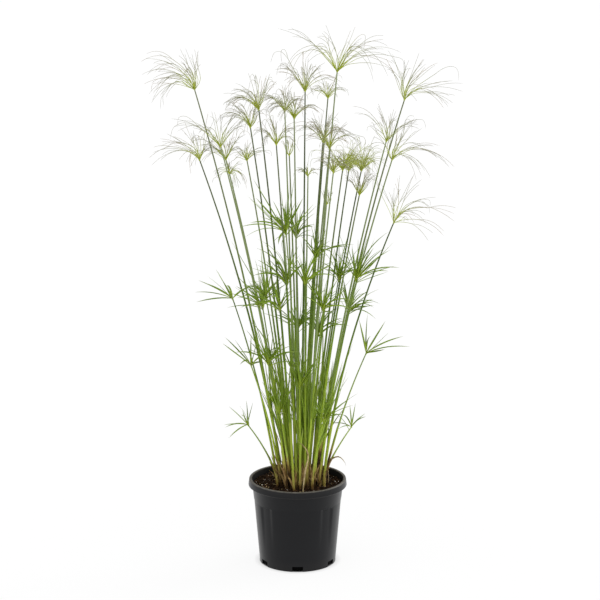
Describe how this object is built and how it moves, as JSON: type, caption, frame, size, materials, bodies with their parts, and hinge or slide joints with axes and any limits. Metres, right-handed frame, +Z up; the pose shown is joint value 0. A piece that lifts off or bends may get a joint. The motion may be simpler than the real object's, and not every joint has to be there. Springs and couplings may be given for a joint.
{
  "type": "potted umbrella sedge",
  "caption": "Tall clump of slender green culms with thread-like umbels and younger leafy shoots, growing from a black nursery pot of soil.",
  "frame": {"origin": "centre of the pot's flat underside", "axes": "+Z up along the pot's axis; -Y towards the viewer of the picture, +X to that viewer's right"},
  "size_m": [0.581, 0.3668, 1.031],
  "materials": {
    "pot_plastic": "satin black nursery pot plastic",
    "potting_mix": "dark damp potting mix with pale perlite specks",
    "culm_green": "smooth living stem, yellow-green at the foot, olive above",
    "leaf_green": "fresh green leaf with a slight gloss",
    "dry_leaf": "dry straw-brown leaf"
  },
  "bodies": {
    "root": {"pot": "pot_plastic", "soil": "potting_mix", "tall_shoot_01": "culm_green", "tall_shoot_02": "culm_green", "tall_shoot_03": "culm_green", "tall_shoot_04": "culm_green", "tall_shoot_05": "culm_green", "tall_shoot_06": "culm_green", "tall_shoot_07": "culm_green", "tall_shoot_08": "culm_green", "tall_shoot_09": "culm_green", "tall_shoot_10": "culm_green", "tall_shoot_11": "culm_green", "tall_shoot_12": "culm_green", "tall_shoot_13": "culm_green", "tall_shoot_14": "culm_green", "tall_shoot_15": "culm_green", "tall_shoot_16": "culm_green", "tall_shoot_17": "culm_green", "tall_shoot_18": "culm_green", "tall_shoot_19": "culm_green", "tall_shoot_20": "culm_green", "tall_shoot_21": "culm_green", "tall_shoot_22": "culm_green", "tall_shoot_23": "culm_green", "tall_shoot_24": "culm_green", "tall_shoot_25": "culm_green", "tall_shoot_26": "culm_green", "tall_shoot_27": "culm_green", "tall_shoot_28": "culm_green", "leafy_shoot_01": "leaf_green", "leafy_shoot_02": "leaf_green", "leafy_shoot_03": "leaf_green", "leafy_shoot_04": "leaf_green", "leafy_shoot_05": "leaf_green", "leafy_shoot_06": "leaf_green", "leafy_shoot_07": "leaf_green", "leafy_shoot_08": "leaf_green", "leafy_shoot_09": "leaf_green", "leafy_shoot_10": "leaf_green", "leafy_shoot_11": "leaf_green", "leafy_shoot_12": "leaf_green", "leafy_shoot_13": "leaf_green", "leafy_shoot_14": "leaf_green", "leafy_shoot_15": "leaf_green", "leafy_shoot_16": "leaf_green", "leafy_shoot_17": "leaf_green", "leafy_shoot_18": "leaf_green", "leafy_shoot_19": "leaf_green", "leafy_shoot_20": "leaf_green", "leafy_shoot_21": "leaf_green", "leafy_shoot_22": "leaf_green", "leafy_shoot_23": "leaf_green", "dry_leaf_01": "dry_leaf", "dry_leaf_02": "dry_leaf", "dry_leaf_03": "dry_leaf"}
  },
  "joints": []
}
